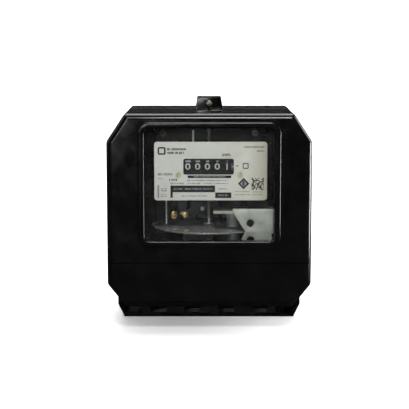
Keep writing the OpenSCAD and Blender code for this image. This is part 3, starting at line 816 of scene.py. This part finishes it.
class METER_OT_covers(Step, bpy.types.Operator):
    """Moulds the main cover and the terminal cover"""
    bl_idname = "meter.covers"
    bl_label = "Covers"

    def build(self, scene):
        case = scene.meter_case
        black = polished_phenolic("polished_phenolic", tuple(case.phenolic))
        finish_piece(checked(main_cover(case), "cover"), black, "main_cover", "black_phenolic", "cover")
        lower = checked(lower_cover(case), "terminal_cover")
        finish_piece(lower, black, "terminal_cover_set", "black_phenolic", "terminal_cover")


class METER_OT_base(Step, bpy.types.Operator):
    """Rounds the edges of the base and the terminal block and gives them their moulded finish"""
    bl_idname = "meter.base"
    bl_label = "Base and terminal block"

    def build(self, scene):
        case = scene.meter_case
        black = polished_phenolic("base_phenolic", tuple(case.phenolic), gloss=0.24)
        dark = marbled_phenolic("terminal_block_phenolic", tuple(case.block_phenolic))
        even_shading(softened_node("base", black, "meter", "black_phenolic", case.edge_softening, 3))
        even_shading(softened_node("terminal_block", dark, "meter", "block_phenolic", 0.3 * MM))


class METER_OT_window(Step, bpy.types.Operator):
    """Fits the window glass and its rubber gasket"""
    bl_idname = "meter.window"
    bl_label = "Window"

    def build(self, scene):
        dress(window_pane("window_glass_clear"), "window_glass")
        dress(matt_rubber("gasket_rubber_matt"), "window_gasket", "cover_gasket")


# ---- nameplate and register -------------------------------------------------

def ink_bar(width, height, x, z, y, depth):
    return box_piece("ink", (x - width / 2, y - depth, z - height / 2), (x + width / 2, y, z + height / 2))


def ink_words(rows, y, depth, seed):
    """Rows of short strokes that stand for small print. A row is (left, right, z, height)."""
    source = random.Random(seed)
    strokes = []
    for left, right, z, height in rows:
        x = left
        while x < right - 0.3 * MM:
            width = min(source.uniform(0.45, 0.8) * MM, right - x)
            tall = height * source.choice((0.72, 0.86, 1.0))
            strokes.append(ink_bar(width, tall, x + width / 2, z, y, depth))
            gap = 0.28 * MM if source.random() < 0.78 else 0.9 * MM
            x += width + gap
    return strokes


def lettering(name, body, height, centre, y, depth, weight=0.0):
    """Figures or letters that face the reader, standing in front of y.

    Their strokes are made bolder by weight.
    """
    deselect()
    bpy.ops.object.text_add(location=(0, 0, 0))
    text = bpy.context.object
    text.data.body = body
    text.data.align_x = "CENTER"
    text.data.align_y = "CENTER"
    text.data.size = height * 1.38
    text.data.extrude = depth / 2
    text.data.resolution_u = 4
    text.data.offset = weight
    bpy.ops.object.convert(target="MESH")
    text = added(name)
    low = min(v.co.y for v in text.data.vertices)
    high = max(v.co.y for v in text.data.vertices)
    for v in text.data.vertices:
        v.co.y -= (low + high) / 2
    text.rotation_euler = (math.pi / 2, 0, 0)
    text.location = (centre[0], y - depth / 2, centre[1])
    return settle(text)


def frame_lines(x, z, width, height, line, y, depth):
    """An open rectangle drawn with four strokes."""
    level = [ink_bar(width, line, x, z + side * height / 2, y, depth) for side in (1, -1)]
    return level + [ink_bar(line, height, x + side * width / 2, z, y, depth) for side in (-1, 1)]


def turned_square(x, z, half, y, depth):
    """A square that stands on one corner."""
    side = half * math.sqrt(2)
    piece = ink_bar(side, side, 0, 0, 0, depth)
    piece.data.transform(Matrix.Rotation(math.radians(45), 4, "Y"))
    piece.data.transform(Matrix.Translation((x, y, z)))
    return piece


def plate_print(settings):
    """Every printed mark on the nameplate, as a dark, a grey and a light layer."""
    y, depth = PLATE_LOW.y, settings.print_height
    over = y - depth
    cx, cz = (PLATE_LOW.x + PLATE_HIGH.x) / 2, (PLATE_LOW.z + PLATE_HIGH.z) / 2 - 0.5 * MM

    def bar(width, height, x, z):
        return ink_bar(width * MM, height * MM, cx + x * MM, cz + z * MM, y, depth)

    def outline(x, z, width, height, line):
        return frame_lines(cx + x * MM, cz + z * MM, width * MM, height * MM, line * MM, y, depth)

    def words(seed, front, rows):
        places = [(cx + a * MM, cx + b * MM, cz + z * MM, h * MM) for a, b, z, h in rows]
        return ink_words(places, front, depth, seed)

    grey = words(7, y, [
        (24, 38, 17.8, 1.6), (33, 38, 14.9, 1.3), (-37.7, -27.2, -1.7, 1.9), (-28.7, -19.3, -8.3, 1.4),
        (-17, 12.5, -6.2, 0.9), (-16.5, -7.5, -8.3, 1.0), (-5, 12.5, -8.3, 0.8), (6, 11.5, -12.2, 0.8),
        (-35.4, -31.6, -12.2, 1.0), (-35.4, -31.2, -13.6, 1.0), (-35.4, -31.2, -16.2, 1.0),
        (-35.4, -31.8, -17.6, 0.9), (-20.7, -2.3, -17.3, 1.0), (17.4, 27.6, -14.2, 0.8),
        (17.4, 28.2, -16.4, 0.7), (30, 37.6, -14.4, 0.7), (30, 37.2, -16.4, 0.7), (-37.4, -33.8, -4.9, 0.7),
    ])
    mark_x, mark_z = cx + 23.5 * MM, cz - 8.4 * MM
    dark = [
        bar(31.1, 1.9, -0.9, -3.5), bar(31.8, 4.8, -12.8, -12.2), bar(1.6, 8.9, -27.9, -14.2),
        bar(11.5, 4.0, 9.0, -16.8), turned_square(mark_x, mark_z, 4.1 * MM, y, depth),
        bar(1.8, 0.6, 18.9, 4.3),
    ]
    dark += outline(24.9, 4.3, 3.5, 3.5, 0.6) + outline(-34.9, 15.0, 4.6, 4.4, 1.1)
    dark += words(3, y, [(-31, -16.8, 16.2, 1.8), (-31, -19.2, 13.6, 1.7), (-29.6, -22.9, -5.7, 1.4)])
    dark += [bar(1.0 + 0.4 * (k % 2), 0.62, -37.4, -9.9 - 1.05 * k) for k in range(9)]
    dark.append(lettering("unit", "kWh", 2.1 * MM, (cx + 11.2 * MM, cz + 12.2 * MM), y, depth, 0.08 * MM))
    source = random.Random(11)
    cells, pitch = 11, 0.79
    for row in range(cells):
        for column in range(cells):
            if source.random() < 0.5:
                dark.append(bar(pitch * 0.96, pitch * 0.96, 29.6 + pitch * column, -4.6 - pitch * row))
    light = words(5, over, [
        (-11.8, 10.2, -3.5, 1.0), (-26.4, -19.8, -12.2, 1.3), (-18.4, 1.6, -12.2, 1.2),
        (5.3, 12.0, -16.8, 1.3),
    ])
    light.append(turned_square(mark_x, mark_z, 2.5 * MM, over, depth))
    dark.append(ink_bar(1.1 * MM, 3.4 * MM, mark_x, mark_z, over, depth * 1.5))
    layers = (("plate_print_dark", dark), ("plate_print_grey", grey), ("plate_print_light", light))
    return [joined(marks, name) for name, marks in layers]


def numeral_templates(settings):
    """The ten figures, cut into level strips so that they can bend round a drum."""
    height = settings.numeral_height
    figures = []
    for digit in range(10):
        figure = lettering(
            f"figure_{digit}", str(digit), height, (0, 0), 0, 0.06 * MM, settings.numeral_weight
        )
        edit(figure)
        for k in range(1, FIGURE_STRIPS):
            z = height * (k / FIGURE_STRIPS - 0.5)
            bpy.ops.mesh.select_all(action="SELECT")
            bpy.ops.mesh.bisect(plane_co=(0, 0, z), plane_no=(0, 0, 1))
        done()
        figures.append(figure)
    return figures


def drum_numerals(node, figures, showing, settings):
    """Ten figures round one drum, with the figure called showing at the front."""
    low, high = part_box(node)
    radius = (high.z - low.z) / 2
    cy, cz = (low.y + high.y) / 2, (low.z + high.z) / 2
    x = low.x + FIGURE_SIDE
    nought = [v.co.x for v in figures[0].data.vertices]
    widen = settings.numeral_width / (max(nought) - min(nought))
    around = []
    for digit, figure in enumerate(figures):
        piece = figure.copy()
        piece.data = figure.data.copy()
        bpy.context.scene.collection.objects.link(piece)
        start = math.radians(36) * (showing - digit)
        stretch = 1.0 if digit == 1 else widen
        for v in piece.data.vertices:
            out = radius + FIGURE_LIFT - v.co.y
            angle = start + v.co.z / radius
            v.co = (x + v.co.x * stretch, cy - out * math.cos(angle), cz + out * math.sin(angle))
        around.append(piece)
    return joined(around, f"{node}_numerals")


class METER_OT_nameplate(Step, bpy.types.Operator):
    """Prints the nameplate and fits its screws"""
    bl_idname = "meter.nameplate"
    bl_label = "Nameplate"

    def build(self, scene):
        settings = scene.meter_plate
        enamel = printed_enamel("nameplate_enamel", tuple(settings.enamel))
        softened_node("nameplate", enamel, "meter", "plate_enamel", 0.15 * MM)
        inks = (
            ("printing_ink", tuple(settings.ink)), ("small_print_ink", (0.20, 0.21, 0.23)),
            ("knocked_out_print", (0.30, 0.31, 0.33)),
        )
        for layer, (name, tint) in zip(plate_print(settings), inks):
            finish_piece(layer, plain_paint(name, tint), "meter", "plate_enamel")
        dress(cast_alloy("plate_screw_brass", (0.72, 0.68, 0.46)), "nameplate_screws")


class METER_OT_register(Step, bpy.types.Operator):
    """Letters the number drums and the register mask, and finishes the register's gears and frame"""
    bl_idname = "meter.register"
    bl_label = "Register"

    def build(self, scene):
        settings = scene.meter_plate
        movement = scene.meter_movement
        white = plain_paint("numeral_white", (0.52, 0.53, 0.52), 0.5)
        figures = numeral_templates(settings)
        for i, showing in enumerate((0, 0, 0, 0, 1), 1):
            ring = drum_numerals(f"drum_{i}", figures, showing, settings)
            finish_piece(ring, white, f"number_drum_{i}", "plate_enamel")
        for figure in figures:
            bpy.data.objects.remove(figure, do_unlink=True)
        lacquer = plain_paint("drum_lacquer", (0.010, 0.010, 0.011), 0.32)
        dress(lacquer, *(f"drum_{i}" for i in range(1, 6)))
        dress(plain_paint("mask_black", (0.008, 0.008, 0.009), 0.5), "register_mask")
        y, depth = MASK_LOW.y, settings.print_height
        marks = []
        for i in range(5):
            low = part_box(f"drum_{i + 1}")[0]
            place = (low.x + FIGURE_SIDE, DRUM_MIDDLE + 3.8 * MM)
            value = str(10 ** (4 - i))
            height = settings.header_height
            marks.append(lettering(f"header_{i}", value, height, place, y, depth, 0.06 * MM))
        for k in range(5):
            z = DRUM_MIDDLE + (k - 2) * 0.9 * MM
            marks.append(ink_bar(0.7 * MM, 0.22 * MM, MASK_HIGH.x - 2.1 * MM, z, y, depth))
        marks.append(turned_square(MASK_HIGH.x - 1.2 * MM, DRUM_MIDDLE, 0.62 * MM, y, depth))
        finish_piece(joined(marks, "register_headers"), white, "meter", "plate_enamel")
        brass = turned_metal("gear_brass", tuple(movement.brass), 0.28)
        nylon = plain_paint("pinion_nylon_natural", (0.62, 0.58, 0.46), 0.5)
        dress(brass, "worm_wheel", "reduction_gear", "worm")
        dress(nylon, *(f"transfer_pinion_{i}" for i in range(1, 5)))
        alloy = cast_alloy("register_alloy", tuple(movement.alloy))
        softened_node("register_frame", alloy, "meter", "frame_alloy", 0.12 * MM)


# ---- movement ---------------------------------------------------------------

def disc_marks(settings):
    """Division ticks round the disc, and the black index block."""
    radius = (DISC_HIGH.x - DISC_LOW.x) / 2
    cx, cy = (DISC_LOW.x + DISC_HIGH.x) / 2, (DISC_LOW.y + DISC_HIGH.y) / 2
    low, high = DISC_HIGH.z, DISC_HIGH.z + 0.02 * MM
    rim = -radius + 0.5 * MM
    ticks = []
    for i in range(settings.tick_count):
        long = settings.tick_length * (1.7 if i % 10 == 0 else 1.0)
        tick = box_piece("tick", (-0.12 * MM, rim, low), (0.12 * MM, rim + long, high))
        turn = Matrix.Rotation(2 * math.pi * i / settings.tick_count, 4, "Z")
        tick.data.transform(Matrix.Translation((cx, cy, 0)) @ turn)
        ticks.append(tick)
    index = box_piece("index", (-3.2 * MM, radius - 7 * MM, low), (3.2 * MM, radius - 0.9 * MM, high))
    index.data.transform(Matrix.Translation((cx, cy, 0)))
    return joined(ticks + [index], "disc_marks")


class METER_OT_rotor(Step, bpy.types.Operator):
    """Finishes the disc, its marks and its spindle"""
    bl_idname = "meter.rotor"
    bl_label = "Rotor"

    def build(self, scene):
        movement = scene.meter_movement
        bright = rolled_disc("disc_rolled_aluminium")
        softened_node("disc", bright, "rotor", "disc_aluminium", 0.18 * MM, 3)
        softened_node("disc_hub", bright, "rotor", "disc_aluminium", 0.2 * MM)
        ink = plain_paint("disc_ink", (0.02, 0.02, 0.02))
        finish_piece(disc_marks(movement), ink, "rotor", "disc_aluminium")
        dress(turned_metal("spindle_steel", (0.34, 0.30, 0.26), 0.3, 0.7), "spindle")
        dress(turned_metal("bearing_steel", (0.72, 0.72, 0.70), 0.2, 0.8), "upper_bearing")
        dress(turned_metal("jewel_cup_brass", tuple(movement.brass), 0.3), "lower_bearing")


class METER_OT_movement(Step, bpy.types.Operator):
    """Finishes the frame, the electromagnets, the brake magnet and the adjusters"""
    bl_idname = "meter.movement"
    bl_label = "Movement"

    def build(self, scene):
        movement = scene.meter_movement
        alloy = cast_alloy("bracket_alloy_satin", tuple(movement.alloy))
        # The mechanism frame's dark colour is painted shade for the inside of the case.
        frame_shade_alloy = cast_alloy("frame_alloy_grey", tuple(movement.frame_alloy))
        dark_alloy = cast_alloy("magnet_alloy", (0.36, 0.37, 0.36))
        softened_node("mechanism_frame", frame_shade_alloy, "meter", "frame_alloy", 0.25 * MM)
        softened_node("magnet_bracket", alloy, "meter", "frame_alloy", 0.22 * MM, 3)
        softened_node("brake_magnet", dark_alloy, "meter", "frame_alloy", 0.3 * MM, 3)
        dress(stacked_laminations("core_laminations"), "voltage_core", "current_core")
        clamp = cast_alloy("clamp_steel", (0.055, 0.06, 0.065))
        softened_node("lag_clamp", clamp, "meter", "core_steel", 0.3 * MM)
        dress(wound("voltage_winding_tape", (0.20, 0.055, 0.025), 1.6 * MM), "voltage_coil")
        dress(wound("current_winding", tuple(movement.copper), 1.5 * MM), "current_coils")
        dress(plain_paint("copper_enamel", tuple(movement.copper), 0.3), "current_leads")
        dress(plain_paint("lead_sleeve", (0.035, 0.012, 0.010), 0.5), "voltage_leads")
        brass = turned_metal("adjuster_brass", tuple(movement.brass), 0.26)
        for node in ("friction_adjuster", "creep_adjuster"):
            softened_node(node, brass, "meter", "brass", 0.12 * MM)
        bright = brushed_plate("clip_bright", (0.80, 0.80, 0.78), 0.25)
        softened_node("lead_clip", bright, "meter", "plated_steel", 0.15 * MM)


class METER_OT_terminals(Step, bpy.types.Operator):
    """Finishes the terminals, their screws and the voltage link"""
    bl_idname = "meter.terminals"
    bl_label = "Terminals"

    def build(self, scene):
        movement = scene.meter_movement
        brass = turned_metal("terminal_brass", tuple(movement.brass), 0.34)
        softened_node("terminals", brass, "meter", "brass", 0.2 * MM)
        softened_node("voltage_link", brass, "meter", "brass", 0.15 * MM)
        steel = turned_metal("screw_steel", (0.52, 0.52, 0.50), 0.32, 0.75)
        for node in ("terminal_screws", "frame_screws"):
            softened_node(node, steel, "meter", "plated_steel", 0.2 * MM)
        dress(steel, "voltage_link_screw", "lag_clamp_screw", "register_screws", "magnet_screws",
              "drum_shaft", "transfer_shaft")


class METER_OT_cover_screws(Step, bpy.types.Operator):
    """Turns the round-headed cover screw and the blackened terminal cover screw"""
    bl_idname = "meter.cover_screws"
    bl_label = "Cover screws"

    def build(self, scene):
        pale = turned_metal("cover_screw_pale_brass", (0.22, 0.20, 0.16), 0.35, 0.8)
        softened_node("cover_screw", pale, "main_cover", "brass", 0.15 * MM)
        black = turned_metal("blackened_screw", (0.05, 0.05, 0.055), 0.4, 0.7)
        softened_node("terminal_cover_screw", black, "terminal_cover_set", "black_screw", 0.15 * MM)


# ---- stage ------------------------------------------------------------------

def soft_light(name, place, target, size, power):
    """A rectangular light at place that points at target."""
    deselect()
    bpy.ops.object.light_add(type="AREA", location=place)
    lamp = bpy.context.object
    lamp.name = name
    lamp.data.shape = "RECTANGLE"
    lamp.data.size, lamp.data.size_y = size
    lamp.data.energy = power
    aim = Vector(target) - Vector(place)
    lamp.rotation_euler = aim.to_track_quat("-Z", "Y").to_euler()


def flagged(material, lit, dark):
    """Keeps the white studio out of polished reflections, as black flags beside the lens do."""
    path = add_node(material, "ShaderNodeLightPath")
    mix = add_node(material, "ShaderNodeMix", data_type="RGBA")
    link(material, path.outputs["Is Glossy Ray"], mix.inputs["Factor"])
    link(material, lit, mix.inputs["A"])
    mix.inputs["B"].default_value = dark
    return mix.outputs["Result"]


def open_floor(material, strength):
    """The floor's own glow, which is nothing right under the meter, as a painted shadow there."""
    front = COVER_LOW.y * 0.43
    centre = (0, (front + BASE_HIGH.y) / 2, 0)
    reach = (1 / (BASE_HIGH.x * 0.9), -2 / front, 0)
    across = add_node(material, "ShaderNodeVectorMath", operation="ABSOLUTE")
    link(material, placed(material, reach, centre=centre), across.inputs[0])
    split = axes(material, across.outputs["Vector"])
    farther = add_node(material, "ShaderNodeMath", operation="MAXIMUM")
    link(material, split["X"], farther.inputs[0])
    link(material, split["Y"], farther.inputs[1])
    return spread(material, farther.outputs["Value"], 0.0, strength, 0.99, 1.01)


def sweep(width, front, back, height, floor_z):
    """A floor that curves up into a backdrop."""
    deselect()
    bpy.ops.mesh.primitive_plane_add(size=1, location=(0, 0, 0))
    floor = added("studio_sweep")
    for v in floor.data.vertices:
        v.co = (width * (1 if v.co.x > 0 else -1), front if v.co.y < 0 else back, floor_z)
    edit(floor, "EDGE")
    pick(floor, "edges", lambda mesh, edge: all(near(end.y, back) for end in edge_ends(mesh, edge)))
    bpy.ops.mesh.extrude_region_move(TRANSFORM_OT_translate={"value": (0, 0, height)})
    done()
    round_edges(floor, 0.6, 16, lambda a, b: all(near(p.y, back) and near(p.z, floor_z) for p in (a, b)))
    bpy.ops.object.shade_smooth()
    return floor


# name, place, target, width and height, watts
LIGHTS = (
    ("top_box", (0, 0.1, 1.1), (0, -0.02, 0), (0.9, 0.6), 8),
    ("right_box", (0.62, 0.08, 0.17), (0.03, -0.1, 0.02), (0.34, 0.46), 3),
    ("edge_strip", (0.4, -0.1255, 0.01), (0.05, -0.1255, 0.01), (0.038, 0.18), 1.3),
    ("left_box", (-1.0, 0.1, 0.45), (0, -0.08, 0.05), (0.3, 0.9), 1.5),
    ("front_fill", (0.1, -1.3, 1.0), (0, -0.09, 0.02), (0.5, 0.3), 13),
    ("low_fill", (-0.3, -1.3, 0.2), (0, -0.09, 0.0), (0.4, 0.15), 1.8),
    ("backdrop_wash", (0, 1.0, 1.6), (0, 1.9, 0.2), (2.4, 0.6), 60),
)


class METER_OT_stage(Step, bpy.types.Operator):
    """Sets the camera, the pale floor and the soft studio light"""
    bl_idname = "meter.stage"
    bl_label = "Stage"

    def build(self, scene):
        stage = scene.meter_stage
        scene.view_settings.view_transform = "Standard"
        deselect()
        bpy.ops.object.camera_add(
            location=(-stage.camera_side, COVER_LOW.y - stage.camera_distance, stage.camera_height),
            rotation=(math.pi / 2 - stage.camera_pitch, 0, 0)
        )
        scene.camera = bpy.context.object
        scene.camera.data.lens = stage.lens
        scene.camera.data.sensor_width = 36.0
        pale = new_material("studio_white", roughness=0.9)
        tone = grain(pale, placed(pale), 3.0, 2.0)
        white = ramp(pale, tone, [(0.3, (0.86,) * 3), (0.7, (0.9,) * 3)])
        flag = flagged(pale, white, (0.012, 0.012, 0.012, 1))
        link(pale, flag, surface_of(pale).inputs["Base Color"])
        link(pale, flag, surface_of(pale).inputs["Emission Color"])
        surface_of(pale).inputs["Specular IOR Level"].default_value = 0.0
        # The floor glows evenly except for a painted shadow right under the meter.
        link(pale, open_floor(pale, 0.3), surface_of(pale).inputs["Emission Strength"])
        floor = sweep(3.0, -3.0, 2.2, 2.6, CAD_BOX[0][2])
        floor.data.materials.append(pale)
        world = bpy.data.worlds.new("studio_air")
        scene.world = world
        world.use_nodes = True
        air = world.node_tree.nodes["Background"]
        glossy = add_node(world, "ShaderNodeLightPath").outputs["Is Glossy Ray"]
        shade = spread(world, glossy, stage.air_light, stage.flag_light, 0.0, 1.0)
        link(world, shade, air.inputs["Strength"])
        air.inputs["Color"].default_value = (1, 1, 1, 1)
        for light in LIGHTS:
            soft_light(*light)


# ---- add-on -----------------------------------------------------------------

STEPS = (
    METER_OT_stage, METER_OT_covers, METER_OT_base, METER_OT_window, METER_OT_cover_screws,
    METER_OT_nameplate, METER_OT_register, METER_OT_rotor, METER_OT_movement, METER_OT_terminals,
)
SETTINGS = (MeterCaseSettings, MeterPlateSettings, MeterMovementSettings, MeterStageSettings)
SCENE_SETTINGS = {
    "meter_case": MeterCaseSettings, "meter_plate": MeterPlateSettings,
    "meter_movement": MeterMovementSettings, "meter_stage": MeterStageSettings,
}


class METER_PT_panel(bpy.types.Panel):
    """Lists the meter's pieces and their settings"""
    bl_label = "Electricity meter"
    bl_idname = "METER_PT_panel"
    bl_space_type = "VIEW_3D"
    bl_region_type = "UI"
    bl_category = "Meter"

    def draw(self, context):
        for name, group in SCENE_SETTINGS.items():
            box = self.layout.box()
            for key in group.__annotations__:
                box.prop(getattr(context.scene, name), key)
        for step in STEPS:
            self.layout.operator(step.bl_idname)


def register():
    for group in SETTINGS:
        bpy.utils.register_class(group)
    for name, group in SCENE_SETTINGS.items():
        setattr(bpy.types.Scene, name, bpy.props.PointerProperty(type=group))
    for step in STEPS:
        bpy.utils.register_class(step)
    bpy.utils.register_class(METER_PT_panel)


def unregister():
    bpy.utils.unregister_class(METER_PT_panel)
    for step in reversed(STEPS):
        bpy.utils.unregister_class(step)
    for name in SCENE_SETTINGS:
        delattr(bpy.types.Scene, name)
    for group in reversed(SETTINGS):
        bpy.utils.unregister_class(group)


def main():
    register()
    for step in STEPS:
        group, call = step.bl_idname.split(".")
        getattr(getattr(bpy.ops, group), call)()


if __name__ == "__main__":
    main()
